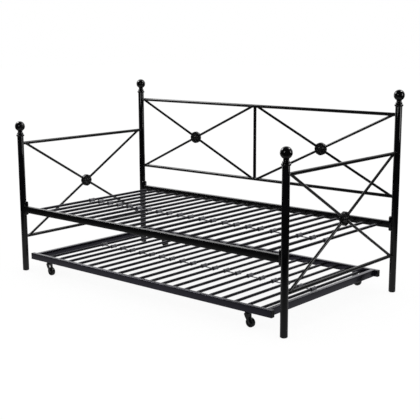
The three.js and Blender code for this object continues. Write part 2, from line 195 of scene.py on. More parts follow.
def noise(tree, scale, detail, stretch=(1, 1, 1)):
    """Noise in metres of the object at rest, so that it keeps its place when a joint moves."""
    where = tree.nodes.new("ShaderNodeTexCoord")
    mapping = tree.nodes.new("ShaderNodeMapping")
    mapping.inputs["Scale"].default_value = stretch
    texture = tree.nodes.new("ShaderNodeTexNoise")
    texture.inputs["Scale"].default_value = scale
    texture.inputs["Detail"].default_value = detail
    tree.links.new(where.outputs["Object"], mapping.inputs["Vector"])
    tree.links.new(mapping.outputs["Vector"], texture.inputs["Vector"])
    return texture.outputs["Fac"]


def ramp(tree, value, low, high):
    """The value turned into a colour between low and high."""
    node = tree.nodes.new("ShaderNodeValToRGB")
    first, last = node.color_ramp.elements
    first.position, last.position = RAMP_START, RAMP_END
    first.color, last.color = (*low, 1), (*high, 1)
    tree.links.new(value, node.inputs["Fac"])
    return node.outputs["Color"]


def between(tree, value, low, high):
    """The value, from 0 to 1, turned into a number between low and high."""
    node = tree.nodes.new("ShaderNodeMapRange")
    node.inputs["To Min"].default_value = low
    node.inputs["To Max"].default_value = high
    tree.links.new(value, node.inputs["Value"])
    return node.outputs["Result"]


def bump(tree, shader, layers):
    """Stacks (height, strength, distance in millimetres) layers under the shader's normal."""
    normal = None
    for height, strength, distance in layers:
        node = tree.nodes.new("ShaderNodeBump")
        node.inputs["Strength"].default_value = strength
        node.inputs["Distance"].default_value = distance * MM
        tree.links.new(height, node.inputs["Height"])
        if normal:
            tree.links.new(normal, node.inputs["Normal"])
        normal = node.outputs["Normal"]
    tree.links.new(normal, shader.inputs["Normal"])


def powder_coat(name, dark, pale, smooth, rough, specular, peel=0.04, tint=WHITE_GLOSS):
    """Baked black paint: fine orange peel, faint flow marks and a little unevenness of gloss."""
    material, tree, shader = shader_nodes(name)
    cloud, sheen = noise(tree, CLOUD_SCALE, detail=4.0), noise(tree, SHEEN_SCALE, detail=5.0)
    tree.links.new(ramp(tree, cloud, dark, pale), shader.inputs["Base Color"])
    tree.links.new(between(tree, sheen, smooth, rough), shader.inputs["Roughness"])
    shader.inputs["Specular IOR Level"].default_value = specular
    shader.inputs["Specular Tint"].default_value = tint
    bump(tree, shader, [
        (noise(tree, PEEL_SCALE, detail=2.0), peel, PEEL_DEPTH),
        (noise(tree, FLOW_SCALE, detail=2.0), peel, FLOW_DEPTH),
    ])
    return material


def moulded_plastic(name, dark, pale, smooth, rough, specular=0.3):
    """Moulded plastic with a fine spark-eroded grain and scuffs that change its gloss."""
    material, tree, shader = shader_nodes(name)
    mottle = noise(tree, MOTTLE_SCALE, detail=5.0)
    scuffs = noise(tree, SCUFF_SCALE, detail=6.0, stretch=SCUFF_STRETCH)
    tree.links.new(ramp(tree, mottle, dark, pale), shader.inputs["Base Color"])
    tree.links.new(between(tree, scuffs, smooth, rough), shader.inputs["Roughness"])
    shader.inputs["Specular IOR Level"].default_value = specular
    bump(tree, shader, [(noise(tree, GRAIN_SCALE, detail=1.0), GRAIN_STRENGTH, GRAIN_DEPTH)])
    return material


def rolled_weld(name, dark, pale):
    """Painted weld: the ripples of the bead show through the coat."""
    material, tree, shader = shader_nodes(name)
    ripples = noise(tree, RIPPLE_SCALE, detail=3.0)
    tree.links.new(ramp(tree, ripples, dark, pale), shader.inputs["Base Color"])
    tree.links.new(between(tree, ripples, WELD_SMOOTH, WELD_ROUGH), shader.inputs["Roughness"])
    shader.inputs["Specular IOR Level"].default_value = COAT_SPECULAR
    bump(tree, shader, [(ripples, RIPPLE_STRENGTH, RIPPLE_DEPTH)])
    return material


# Each coat: darkest and palest colour, least and most roughness, and level of gloss
POST_COAT = powder_coat("post_coat", INK, SOOT, 0.06, 0.09, COAT_SPECULAR, peel=0.02)
FINIAL_COAT = powder_coat("finial_coat", INK, SOOT, 0.08, 0.13, COAT_SPECULAR, peel=0.02)
TUBE_COAT = powder_coat("panel_coat", INK, SOOT, 0.14, 0.20, COAT_SPECULAR, peel=0.015)
CAST_COAT = powder_coat("medallion_coat", INK, SOOT, 0.20, 0.32, COAT_SPECULAR, peel=0.10)
RAIL_COAT = powder_coat("rail_coat", INK, SOOT, 0.18, 0.28, COAT_SPECULAR)
TRUNDLE_COAT = powder_coat("trundle_coat", INK, SLATE, 0.16, 0.24, 0.65, tint=COOL_GLOSS)
SLAT_COAT = powder_coat("slat_coat", INK, SOOT, 0.14, 0.22, 0.4, tint=COOL_GLOSS)
WELD_COAT = rolled_weld("weld_coat", INK, SOOT)
FORK_COAT = powder_coat("fork_coat", INK, SOOT, 0.08, 0.14, COAT_SPECULAR)
CLIP_PLASTIC = moulded_plastic("clip_plastic", CLIP_DARK, CLIP_PALE, 0.30, 0.50, 0.6)
CAP_PLASTIC = moulded_plastic("cap_plastic", INK, GRAPHITE, 0.40, 0.60)
WHEEL_NYLON = moulded_plastic("wheel_nylon", INK, SOOT, 0.12, 0.24, 0.4)
RIVET_ZINC = powder_coat("rivet_coat", GRAPHITE, ZINC, 0.2, 0.35, COAT_SPECULAR)


# ---------------------------------------------------------------- mesh helpers

def box_of(node):
    """The lowest and highest corner of a CAD node, in millimetres."""
    low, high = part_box(node)
    return low / MM, high / MM


def arc(across, up, radius, start, end, steps):
    """Points (across, up) on an arc, with angles in degrees from the across axis."""
    points = []
    for step in range(steps + 1):
        angle = math.radians(start + (end - start) * step / steps)
        points.append((across + radius * math.cos(angle), up + radius * math.sin(angle)))
    return points


def skin(mesh, rings, closed=False, material=0):
    """Joins rings of the same number of points by quads. Its ends get caps, or meet if closed."""
    rows = [[mesh.verts.new(point) for point in ring] for ring in rings]
    pairs = list(zip(rows, rows[1:]))
    if closed:
        pairs.append((rows[-1], rows[0]))
    faces = []
    for lower, upper in pairs:
        for i in range(len(lower)):
            j = (i + 1) % len(lower)
            faces.append(mesh.faces.new((lower[i], lower[j], upper[j], upper[i])))
    if not closed:
        faces.append(mesh.faces.new(list(reversed(rows[0]))))
        faces.append(mesh.faces.new(rows[-1]))
    for face in faces:
        face.material_index = material


def circle(radius, sides, height=0.0, place=Matrix()):
    """Points of a level circle in the frame of place."""
    return [place @ Vector((radius * math.cos(TURN * i / sides),
                            radius * math.sin(TURN * i / sides), height)) for i in range(sides)]


def lathe(mesh, profile, sides, place=Matrix(), material=0):
    """Turns (radius, height) points about the Z axis of place. The ends are capped flat."""
    skin(mesh, [circle(radius, sides, height, place) for radius, height in profile],
         material=material)


def along(start, end):
    """A frame at start whose Z axis points to end."""
    direction = (end - start).normalized()
    return Matrix.Translation(start) @ direction.to_track_quat("Z", "X").to_matrix().to_4x4()


def tube(mesh, start, end, radius, sides, material=0):
    """A plain round bar between two points."""
    length = (end - start).length
    lathe(mesh, [(radius, 0), (radius, length)], sides, along(start, end), material)


def leaving(start, direction, axis_point, axis, radius):
    """How far along a line its last crossing with a round tube lies, or 0 where it has none."""
    across = direction - axis * direction.dot(axis)
    offset = start - axis_point
    offset -= axis * offset.dot(axis)
    a, b, c = across.dot(across), 2 * offset.dot(across), offset.dot(offset) - radius ** 2
    root = b * b - 4 * a * c
    return (-b + math.sqrt(root)) / (2 * a) if a > NEARLY_ZERO and root > 0 else 0.0


def coped_end(start, direction, radius, sides, tubes):
    """The ring of points where a round rod comes out of the tubes it is welded to."""
    place = along(start, start + direction)
    ring = []
    for point in circle(radius, sides, 0.0, place):
        reach = max(leaving(point, direction, *each) for each in tubes)
        ring.append(point + direction * max(reach, 0.0))
    return ring


def weld_bead(mesh, ring, radius, material):
    """A thin round bead laid along a closed ring of points."""
    centre = sum(ring, Vector()) / len(ring)
    rows = []
    for i, point in enumerate(ring):
        forward = (ring[(i + 1) % len(ring)] - ring[i - 1]).normalized()
        outward = point - centre
        outward = (outward - forward * outward.dot(forward)).normalized()
        side = forward.cross(outward)
        rows.append([point + (outward * math.cos(TURN * k / BEAD_SIDES)
                              + side * math.sin(TURN * k / BEAD_SIDES)) * radius
                     for k in range(BEAD_SIDES)])
    skin(mesh, rows, closed=True, material=material)


def welded_rod(mesh, start, end, radius, start_tubes, end_tubes):
    """A rod between two joints, shaped to the tubes it meets, with a bead round each end."""
    direction = (end - start).normalized()
    first = coped_end(start, direction, radius, TUBE_SIDES, start_tubes)
    last = coped_end(end, -direction, radius, TUBE_SIDES, end_tubes)
    # The far ring is counted from elsewhere, so its points are matched to the near ring's
    near = circle(radius, TUBE_SIDES, 0.0, along(start, start + direction))
    order = [min(range(TUBE_SIDES), key=lambda k: ((last[k] - point).cross(direction)).length)
             for point in near]
    last = [last[k] for k in order]
    skin(mesh, [[point - direction * WELD_RADIUS for point in first], first,
                last, [point + direction * WELD_RADIUS for point in last]])
    for ring in (first, last):
        weld_bead(mesh, ring, WELD_RADIUS, WELD_SLOT)


def rounded_section(half_width, half_height, corner, steps=4):
    """Points of a rectangle with round corners, counted anticlockwise."""
    x, y = half_width - corner, half_height - corner
    return (arc(x, y, corner, 0, 90, steps) + arc(-x, y, corner, 90, 180, steps)
            + arc(-x, -y, corner, 180, 270, steps) + arc(x, -y, corner, 270, 360, steps))


def superellipse(half_width, half_height, power, sides):
    """Points of an oval that goes from round at power 2 to square at a high power."""
    points = []
    for i in range(sides):
        angle = TURN * i / sides
        c, s = math.cos(angle), math.sin(angle)
        points.append((half_width * math.copysign(abs(c) ** (2 / power), c),
                       half_height * math.copysign(abs(s) ** (2 / power), s)))
    return points


def finish_piece(name, mesh, materials, body, replaced=(), sharp=35):
    """Makes the object, smooth but for edges over sharp degrees, and puts it on its body."""
    bmesh.ops.recalc_face_normals(mesh, faces=mesh.faces)
    data = bpy.data.meshes.new(name)
    mesh.to_mesh(data)
    mesh.free()
    data.transform(Matrix.Scale(MM, 4))
    for material in materials:
        data.materials.append(material)
    data.shade_smooth()
    data.set_sharp_from_angle(angle=math.radians(sharp))
    piece = bpy.data.objects.new(name, data)
    bpy.context.scene.collection.objects.link(piece)
    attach(piece, body)
    if replaced:
        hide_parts(*replaced)


# ---------------------------------------------------------------- posts and finials

def post_axis(corner):
    """Where a post's axis stands, taken from its finial, which has no plate on one side."""
    low, high = box_of(f"finial_{corner}")
    return (low.x + high.x) / 2, (low.y + high.y) / 2


def make_post(corner):
    """One post with its saddle plate, and the plastic glide in its foot."""
    x, y = post_axis(corner)
    top = box_of(f"post_{corner}")[1].z
    place = Matrix.Translation((x, y, 0))
    foot_round, top_round = POST_FOOT_ROUND, POST_TOP_ROUND
    mesh = bmesh.new()
    lathe(mesh, [
        (GLIDE_RADIUS, GLIDE_HEIGHT),
        *arc(POST_RADIUS - foot_round, GLIDE_HEIGHT + foot_round, foot_round, -90, 0, 3),
        *arc(POST_RADIUS - top_round, top - top_round, top_round, 0, 90, 3),
    ], POST_SIDES, place)
    saddle_plate(mesh, corner, x)
    finish_piece(f"post_tube_{corner}", mesh, [POST_COAT], "bed_frame", [f"post_{corner}"])
    glide = bmesh.new()
    lathe(glide, [
        (GLIDE_RADIUS - GLIDE_FLAT_INSET, 0.0),
        *arc(GLIDE_RADIUS - GLIDE_ROUND, GLIDE_ROUND, GLIDE_ROUND, -90, 0, 4),
        (GLIDE_RADIUS, GLIDE_HEIGHT + GLIDE_IN_POST),
    ], POST_SIDES, place)
    finish_piece(f"foot_glide_{corner}", glide, [CAP_PLASTIC], "bed_frame")


def saddle_plate(mesh, corner, x):
    """The plate welded to the post at x that carries the deck rail, with rounded edges."""
    inward = -math.copysign(1, x)
    side = "front" if "front" in corner else "back"
    low, high = box_of(f"deck_{side}_rail")
    plate_y = (low.y + high.y) / 2
    face_x = (high.x + SEAT_GAP) if x > 0 else (low.x - SEAT_GAP)
    middle_z = (low.z + high.z) / 2 + PLATE_LIFT
    stations = [(x + inward * (POST_RADIUS - PLATE_IN_POST), 0.0)]
    stations += [(face_x - inward * behind, shrink) for behind, shrink in PLATE_EDGE]
    rings = []
    for station, shrink in stations:
        section = rounded_section(PLATE_WIDTH / 2 - shrink, PLATE_HEIGHT / 2 - shrink,
                                  PLATE_CORNER, 5)
        rings.append([Vector((station, plate_y + a, middle_z + b)) for a, b in section])
    skin(mesh, rings)


def make_finial(corner):
    """One finial, turned in one piece: ring, bead, neck and ball."""
    x, y = post_axis(corner)
    base = box_of(f"post_{corner}")[1].z
    ball_start = -math.degrees(math.acos(NECK_RADIUS / BALL_RADIUS))
    bead_round = BEAD_HEIGHT / 2
    bead_top = RING_HEIGHT + BEAD_HEIGHT
    profile = [
        (RING_FLAT_RADIUS, 0.0),
        *arc(RING_RADIUS - RING_ROUND, RING_ROUND, RING_ROUND, -90, 0, 5),
        *arc(RING_RADIUS - RING_ROUND, RING_HEIGHT - RING_ROUND, RING_ROUND, 0, 90, 5),
        (BEAD_RADIUS - bead_round, RING_HEIGHT),
        *arc(BEAD_RADIUS - bead_round, RING_HEIGHT + bead_round, bead_round, -80, 90, 8),
        *[(NECK_RADIUS + wider, bead_top + height) for wider, height in NECK_FLARE],
        *arc(0, BALL_CENTRE, BALL_RADIUS, ball_start, 88, BALL_STEPS),
    ]
    mesh = bmesh.new()
    lathe(mesh, profile, POST_SIDES, Matrix.Translation((x, y, base)))
    finish_piece(f"finial_turned_{corner}", mesh, [FINIAL_COAT], "bed_frame",
                 [f"finial_{corner}"], sharp=50)


# ---------------------------------------------------------------- crossed panels

def upright(x, y, radius):
    """A standing tube, as a point on its axis, the way that runs, and its radius."""
    return (Vector((x, y, 0)), Vector((0, 0, 1)), radius)


def panel_tube(node, posts):
    """A level tube welded between two posts. It returns the tube as upright does."""
    low, high = box_of(node)
    level = ((low + high) / 2).z
    start, end = [Vector((axis.x, axis.y, level)) for axis, _, _ in posts]
    mesh = bmesh.new()
    welded_rod(mesh, start, end, PANEL_TUBE_RADIUS, [posts[0]], [posts[1]])
    finish_piece(f"{node}_welded", mesh, [TUBE_COAT, WELD_COAT], "bed_frame", [node])
    return (start, (end - start).normalized(), PANEL_TUBE_RADIUS)


def cross_rods(node, left, right, bottom, top, reach):
    """The two rods of one bay. left and right are uprights, bottom and top are level tubes."""
    low, high = box_of(node)
    centre, direction = (low + high) / 2, bottom[1]
    mesh = bmesh.new()
    for first, last in ((bottom, top), (top, bottom)):
        start, end = centre - direction * reach, centre + direction * reach
        start.z, end.z = first[0].z, last[0].z
        welded_rod(mesh, start, end, CROSS_ROD_RADIUS, [left, first], [right, last])
    finish_piece(f"{node}_welded", mesh, [TUBE_COAT, WELD_COAT], "bed_frame", [node])


def make_rosette(node):
    """A cast rosette with eight round petals, a groove and a domed button, alike on both faces."""
    low, high = box_of(node)
    centre, size = (low + high) / 2, high - low
    radius = max(size.x, size.y) / 2
    half = min(size.x, size.y) / 2
    across = Vector((1, 0, 0)) if size.x > size.y else Vector((0, 1, 0))
    normal = across.cross(Vector((0, 0, 1)))
    sides = ROSETTE_LOBES * ROSETTE_LOBE_POINTS

    def surface(fraction, i):
        """Radius, angle and height of point i on the section that lies at fraction."""
        angle = TURN * i / sides
        lobe = abs(math.cos(angle * ROSETTE_LOBES / 2))
        edge = radius - ROSETTE_LOBE_DEPTH * (1 - lobe) ** ROSETTE_NOTCH_POWER
        r = fraction * edge
        if r < ROSETTE_GROOVE_RADIUS:
            inside = min(r / ROSETTE_BUTTON_RADIUS, 1)
            dome = (half - ROSETTE_RIM_HALF) * math.sqrt(max(1 - inside ** 2, 0))
            return r, angle, ROSETTE_RIM_HALF + dome
        outward = (r - ROSETTE_GROOVE_RADIUS) / (edge - ROSETTE_GROOVE_RADIUS)
        petal = math.sin(math.pi * min(max(outward, 0), 1)) ** ROSETTE_PETAL_POWER
        rise = ROSETTE_PETAL_RISE * petal * lobe ** ROSETTE_VALLEY_POWER
        return r, angle, ROSETTE_RIM_HALF + rise

    def section(fraction, face, flat=None):
        """A loop of points on one face, at the height flat where that is given."""
        points = []
        for i in range(sides):
            r, angle, height = surface(fraction, i)
            height = height if flat is None else flat
            points.append(centre + across * (r * math.cos(angle))
                          + Vector((0, 0, r * math.sin(angle))) + normal * (face * height))
        return points

    rings = []
    for face in (-1, 1):
        sections = [section(fraction, face) for fraction in ROSETTE_STATIONS]
        sections.append(section(1.0, face, ROSETTE_RIM_HALF - ROSETTE_RIM_ROUND))
        rings += sections if face < 0 else sections[::-1]
    mesh = bmesh.new()
    skin(mesh, rings)
    finish_piece(f"{node}_cast", mesh, [CAST_COAT], "bed_frame", [node], sharp=60)


def make_back_panel():
    """Two level tubes, the middle bar between them, and a crossed and rosetted bay each side."""
    posts = [upright(*post_axis(f"back_{side}"), POST_RADIUS) for side in ("left", "right")]
    top = panel_tube("back_top_rail", posts)
    bottom = panel_tube("back_bottom_rail", posts)
    y = posts[0][0].y
    bar = upright(0, y, PANEL_TUBE_RADIUS)
    mesh = bmesh.new()
    welded_rod(mesh, Vector((0, y, bottom[0].z)), Vector((0, y, top[0].z)), PANEL_TUBE_RADIUS,
               [bottom], [top])
    finish_piece("back_mid_bar_welded", mesh, [TUBE_COAT, WELD_COAT], "bed_frame",
                 ["back_mid_bar"])
    cross_rods("back_left_cross", posts[0], bar, bottom, top, BACK_CROSS_REACH)
    cross_rods("back_right_cross", bar, posts[1], bottom, top, BACK_CROSS_REACH)
    make_rosette("back_left_medallion")
    make_rosette("back_right_medallion")


def make_side_panel(side):
    """Two level tubes with one crossed and rosetted bay."""
    posts = [upright(*post_axis(f"{end}_{side}"), POST_RADIUS) for end in ("front", "back")]
    top = panel_tube(f"{side}_side_top_rail", posts)
    bottom = panel_tube(f"{side}_side_bottom_rail", posts)
    cross_rods(f"{side}_side_cross", *posts, bottom, top, SIDE_CROSS_REACH)
    make_rosette(f"{side}_side_medallion")


# ---------------------------------------------------------------- rails

def rail_piece(node, body, capped):
    """A rectangular tube with round corners. Capped ends carry a dished plastic plug."""
    low, high = box_of(node)
    size, centre = high - low, (low + high) / 2
    lengthwise = Vector((1, 0, 0)) if size.x > size.y else Vector((0, 1, 0))
    sideways = Vector((0, 1, 0)) if size.x > size.y else Vector((-1, 0, 0))
    half_length = max(size.x, size.y) / 2
    half_width, half_height = min(size.x, size.y) / 2, size.z / 2
    end = half_length - (CAP_LENGTH if capped else 0)

    def ring(station, shrink, corner):
        return [centre + lengthwise * station + sideways * a + Vector((0, 0, b)) for a, b in
                rounded_section(half_width - shrink, half_height - shrink, corner)]

    bevelled = end - RAIL_BEVEL
    mesh = bmesh.new()
    skin(mesh, [ring(station, shrink, RAIL_CORNER) for station, shrink in
                ((-end, RAIL_BEVEL), (-bevelled, 0), (bevelled, 0), (end, RAIL_BEVEL))])
    finish_piece(f"{node}_tube", mesh, [TRUNDLE_COAT if body == "trundle" else RAIL_COAT], body,
                 [node])
    if not capped:
        return
    for label, side in (("left", -1), ("right", 1)):
        cap = bmesh.new()
        skin(cap, [ring(side * (end + past), shrink, corner)
                   for past, shrink, corner in CAP_SECTIONS])
        finish_piece(f"{node}_cap_{label}", cap, [CAP_PLASTIC], body)


# ---------------------------------------------------------------- slats

def smoothstep(t):
    """0 to 1 with no corner at either end."""
    t = min(max(t, 0.0), 1.0)
    return t * t * (3 - 2 * t)


def slat_rings(x, z, near_y, far_y):
    """Sections of one slat, round in the middle and pressed flat at both ends."""
    length = far_y - near_y
    steps = [0.0, TAB_BEVEL_LENGTH, TAB_LENGTH / 2, TAB_LENGTH]
    steps += [TAB_LENGTH + TAPER_LENGTH * k / TAPER_STEPS for k in range(1, TAPER_STEPS + 1)]
    stations = steps + [length - s for s in reversed(steps)]
    rings = []
    for station in stations:
        from_end = min(station, length - station)
        t = smoothstep((from_end - TAB_LENGTH) / TAPER_LENGTH)
        trim = TAB_BEVEL if from_end < TAB_BEVEL_LENGTH / 2 else 0.0
        half_width = TAB_HALF_WIDTH + (SLAT_RADIUS - TAB_HALF_WIDTH) * t - trim
        half_height = TAB_HALF_THICKNESS + (SLAT_RADIUS - TAB_HALF_THICKNESS) * t - trim
        power = TAB_POWER + (ROUND_POWER - TAB_POWER) * t
        rings.append([Vector((x + a, near_y + station, z + b)) for a, b in
                      superellipse(half_width, half_height, power, SLAT_SIDES)])
    return rings


def tab_welds(mesh, x, z, near_y, far_y):
    """A short fillet of weld under and over each flat end, where it meets the rail."""
    sink, half_length = WELD_RADIUS * TAB_WELD_SINK, TAB_HALF_WIDTH - TAB_WELD_INSET
    for y in (near_y + sink, far_y - sink):
        for level in (TAB_HALF_THICKNESS, -TAB_HALF_THICKNESS):
            start, end = [Vector((x + side * half_length, y, z + level)) for side in (-1, 1)]
            tube(mesh, start, end, WELD_RADIUS, BEAD_SIDES, WELD_SLOT)


def sleeve_profile():
    """(radius, height) points of a clip: a waist between two lips, open for the slat."""
    half, waist = SLEEVE_LENGTH / 2, SLEEVE_RADIUS - SLEEVE_WAIST
    upper = [
        (waist, 0.0), (waist, half - SLEEVE_LIP - SLEEVE_SLOPE), (SLEEVE_RADIUS, half - SLEEVE_LIP),
        (SLEEVE_RADIUS, half - SLEEVE_CHAMFER), (SLEEVE_RADIUS - SLEEVE_CHAMFER, half),
        (SLAT_RADIUS - SLEEVE_IN_SLAT, half),
    ]
    lower = [(radius, -height) for radius, height in upper[:0:-1]]
    return lower + upper


def slat_piece(node, body, clips_name, clips_forward=0.0):
    """The slats of one CAD node, with the clips near their middle and the link between two."""
    low, high = box_of(node)
    centre, half_width = (low + high) / 2, (high.x - low.x) / 2
    z = high.z - SLEEVE_RADIUS_IN_CAD
    linked = half_width > 2 * TAB_HALF_WIDTH
    half_pitch = half_width - TAB_HALF_WIDTH
    axes = [centre.x - half_pitch, centre.x + half_pitch] if linked else [centre.x]
    clip_y = centre.y - clips_forward
    slats, clips = bmesh.new(), bmesh.new()
    for x in axes:
        skin(slats, slat_rings(x, z, low.y, high.y))
        tab_welds(slats, x, z, low.y, high.y)
        lathe(clips, sleeve_profile(), TUBE_SIDES,
              along(Vector((x, clip_y, z)), Vector((x, clip_y + 1, z))))
    if linked:
        start, end = [Vector((x, clip_y, z - LINK_DROP)) for x in axes]
        tube(clips, start, end, LINK_RADIUS, TUBE_SIDES)
    finish_piece(f"{node}_pressed", slats, [SLAT_COAT, WELD_COAT], body, [node])
    finish_piece(clips_name, clips, [CLIP_PLASTIC], body)


# ---------------------------------------------------------------- casters

def caster_axes(corner):
    """(stem x, y of both, wheel x) of one caster."""
    low, high = box_of(f"caster_wheel_{corner}")
    wheel_x, y = (low.x + high.x) / 2, (low.y + high.y) / 2
    return wheel_x - CASTER_TRAIL, y, wheel_x


def on_axle(wheel_x, y):
    """A frame in the middle of a wheel whose Z axis is its axle."""
    return along(Vector((wheel_x, y, WHEEL_RADIUS)), Vector((wheel_x, y + 1, WHEEL_RADIUS)))


def bezier(points, steps):
    """Points on a quadratic curve through its first and last control point."""
    a, b, c = [Vector(point) for point in points]
    return [(1 - t) ** 2 * a + 2 * t * (1 - t) * b + t * t * c
            for t in (step / steps for step in range(steps + 1))]


def race_profile(bottom):
    """(radius, height) points of the race: two rounded lips with a groove between them."""
    lip, groove = RACE_RADIUS - RACE_LIP_ROUND, RACE_RADIUS - RACE_GROOVE_DEPTH
    return [
        (RACE_RADIUS - RACE_FOOT_INSET, bottom - RACE_IN_CROWN),
        *arc(lip, bottom + RACE_LOWER_LIP, RACE_LIP_ROUND, -90, 90, 5),
        (groove, bottom + RACE_GROOVE_FROM), (groove, bottom + RACE_GROOVE_TO),
        *arc(lip, bottom + RACE_UPPER_LIP, RACE_LIP_ROUND, -80, 90, 5),
        (STEM_RADIUS, bottom + RACE_HEIGHT),
    ]


def make_fork(corner):
    """One caster's fork with its crown, race and stem, and the riveted axle."""
    stem_x, y, wheel_x = caster_axes(corner)
    rail_side = "front" if "front" in corner else "back"
    rail_bottom = box_of(f"trundle_{rail_side}_rail")[0].z
    crown_top = CROWN_BOTTOM + CROWN_THICKNESS
    half_gap = CHEEK_GAP / 2
    forward = bezier([(-CROWN_HALF, crown_top), (-CROWN_HALF, CROWN_BOTTOM - BOSS_RADIUS),
                      (CASTER_TRAIL - BOSS_RADIUS, WHEEL_RADIUS)], FORK_CURVE_STEPS)
    boss = arc(CASTER_TRAIL, WHEEL_RADIUS, BOSS_RADIUS, 180, 360, BOSS_STEPS)
    rearward = bezier([(CASTER_TRAIL + BOSS_RADIUS, WHEEL_RADIUS),
                       (CROWN_HALF, WHEEL_RADIUS + BOSS_RADIUS),
                       (CROWN_HALF, crown_top)], FORK_CURVE_STEPS)
    outline = forward + [Vector(point) for point in boss[1:-1]] + rearward
    middle = sum(outline, Vector((0, 0))) / len(outline)

    def plate_ring(offset, shrink):
        ring = []
        for point in outline:
            inward = (middle - point).normalized() * shrink
            ring.append(Vector((stem_x + point.x + inward.x, y + offset, point.y + inward.y)))
        return ring

    mesh = bmesh.new()
    for side in (-1, 1):
        near, far = side * half_gap, side * (half_gap + CHEEK_THICKNESS)
        skin(mesh, [plate_ring(offset, shrink) for offset, shrink in (
            (near, CHEEK_INNER_BEVEL), (near + side * CHEEK_INNER_BEVEL, 0),
            (far - side * CHEEK_OUTER_BEVEL, 0), (far, CHEEK_OUTER_BEVEL))])
    crown_floor = CROWN_BOTTOM + CROWN_RISE
    crown = [(-CROWN_HALF, crown_floor), (CROWN_HALF, crown_floor),
             (CROWN_HALF, crown_top), (-CROWN_HALF, crown_top)]
    half_crown = half_gap + CROWN_IN_CHEEK
    skin(mesh, [[Vector((stem_x + a, y + offset, b)) for a, b in crown]
                for offset in (-half_crown, half_crown)])
    lathe(mesh, race_profile(crown_top), POST_SIDES, Matrix.Translation((stem_x, y, 0)))
    tube(mesh, Vector((stem_x, y, crown_top)), Vector((stem_x, y, rail_bottom + STEM_IN_RAIL)),
         STEM_RADIUS, TUBE_SIDES)
    finish_piece(f"caster_fork_stamped_{corner}", mesh, [FORK_COAT], f"caster_{corner}_swivel",
                 [f"caster_fork_{corner}"])
    axle = bmesh.new()
    half_axle = half_gap + CHEEK_THICKNESS
    rivet = arc(0, half_axle - RIVET_RADIUS * RIVET_SINK, RIVET_RADIUS, RIVET_START, RIVET_END, 5)
    half_shaft = half_axle - AXLE_IN_RIVET
    profile = [(radius, -height) for radius, height in reversed(rivet)]
    profile += [(AXLE_RADIUS, -half_shaft), (AXLE_RADIUS, half_shaft), *rivet]
    lathe(axle, profile, TUBE_SIDES, on_axle(wheel_x, y))
    finish_piece(f"caster_axle_{corner}", axle, [RIVET_ZINC], f"caster_{corner}_swivel")


def make_wheel(corner):
    """One bored wheel: rounded tread, rim, thin web with spokes on both sides, and hub."""
    _, y, wheel_x = caster_axes(corner)
    tread, hub, web = WHEEL_WIDTH / 2, HUB_WIDTH / 2, WEB_WIDTH / 2
    rim = WHEEL_RADIUS - TREAD_DEPTH
    upper = [
        *arc(WHEEL_RADIUS - TREAD_ROUND, tread - TREAD_ROUND, TREAD_ROUND, 0, 80, 6),
        *[(rim + wider, tread + height) for wider, height in RIM_LIP],
        *[(rim + wider, web + height) for wider, height in RIM_FOOT],
        (HUB_RADIUS + WEB_FILLET, web), (HUB_RADIUS, web + WEB_FILLET),
        (HUB_RADIUS, hub - HUB_ROUND), (HUB_RADIUS - HUB_ROUND, hub),
        (AXLE_RADIUS + BORE_GAP, hub),
    ]
    profile = [(radius, -height) for radius, height in reversed(upper)] + upper
    place = on_axle(wheel_x, y)
    mesh = bmesh.new()
    skin(mesh, [circle(radius, POST_SIDES, height, place) for radius, height in profile],
         closed=True)
    for spoke in range(SPOKES):
        turn = place @ Matrix.Rotation(TURN * spoke / SPOKES, 4, "Z")
        for side in (-1, 1):
            skin(mesh, [[turn @ Vector((radius, offset, side * (web + height)))
                         for offset, height in SPOKE_SECTION]
                        for radius in (HUB_RADIUS - SPOKE_IN_HUB, rim - SPOKE_IN_RIM)])
    finish_piece(f"caster_wheel_moulded_{corner}", mesh, [WHEEL_NYLON], f"caster_{corner}_wheel",
                 [f"caster_wheel_{corner}"])


# ---------------------------------------------------------------- the whole bed

for corner in CORNERS:
    make_post(corner)
    make_finial(corner)
    make_fork(corner)
    make_wheel(corner)
make_back_panel()
make_side_panel("left")
make_side_panel("right")
for side in ("front", "back"):
    rail_piece(f"deck_{side}_rail", "bed_frame", capped=False)
    rail_piece(f"trundle_{side}_rail", "trundle", capped=True)
for side in ("left", "right"):
    rail_piece(f"trundle_{side}_rail", "trundle", capped=False)
for node in sorted(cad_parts):
    if node.startswith("deck_slat"):
        slat_piece(node, "bed_frame", f"deck_clip_{node.removeprefix('deck_slat_')}",
                   DECK_CLIPS_FORWARD)
    elif node.startswith("trundle_slat"):
        slat_piece(node, "trundle", f"trundle_clip_{node.removeprefix('trundle_slat_')}")


# ---------------------------------------------------------------- camera

# Where the photographer stood, in metres, and how the camera was turned, in degrees
CAMERA_PLACE = Vector((3.3805, -3.8409, 1.4116))
CAMERA_TURN, CAMERA_DIP, CAMERA_ROLL = 41.081, 11.226, -0.23
CAMERA_LENS, SENSOR = 77.15, 36.0
CAMERA_SHIFT = (0.0139, 0.0100)
CAMERA_SEES_TO = 200.0


def make_camera():
    """The photographer's camera."""
    data = bpy.data.cameras.new("photo_camera")
    data.sensor_width = SENSOR
    data.lens = CAMERA_LENS
    data.shift_x, data.shift_y = CAMERA_SHIFT
    data.clip_end = CAMERA_SEES_TO
    camera = bpy.data.objects.new("photo_camera", data)
    turn = (Matrix.Rotation(math.radians(CAMERA_TURN), 4, "Z")
            @ Matrix.Rotation(math.radians(90 - CAMERA_DIP), 4, "X")
            @ Matrix.Rotation(math.radians(CAMERA_ROLL), 4, "Z"))
    camera.matrix_world = Matrix.Translation(CAMERA_PLACE) @ turn
    bpy.context.scene.collection.objects.link(camera)
    bpy.context.scene.camera = camera


# ---------------------------------------------------------------- studio

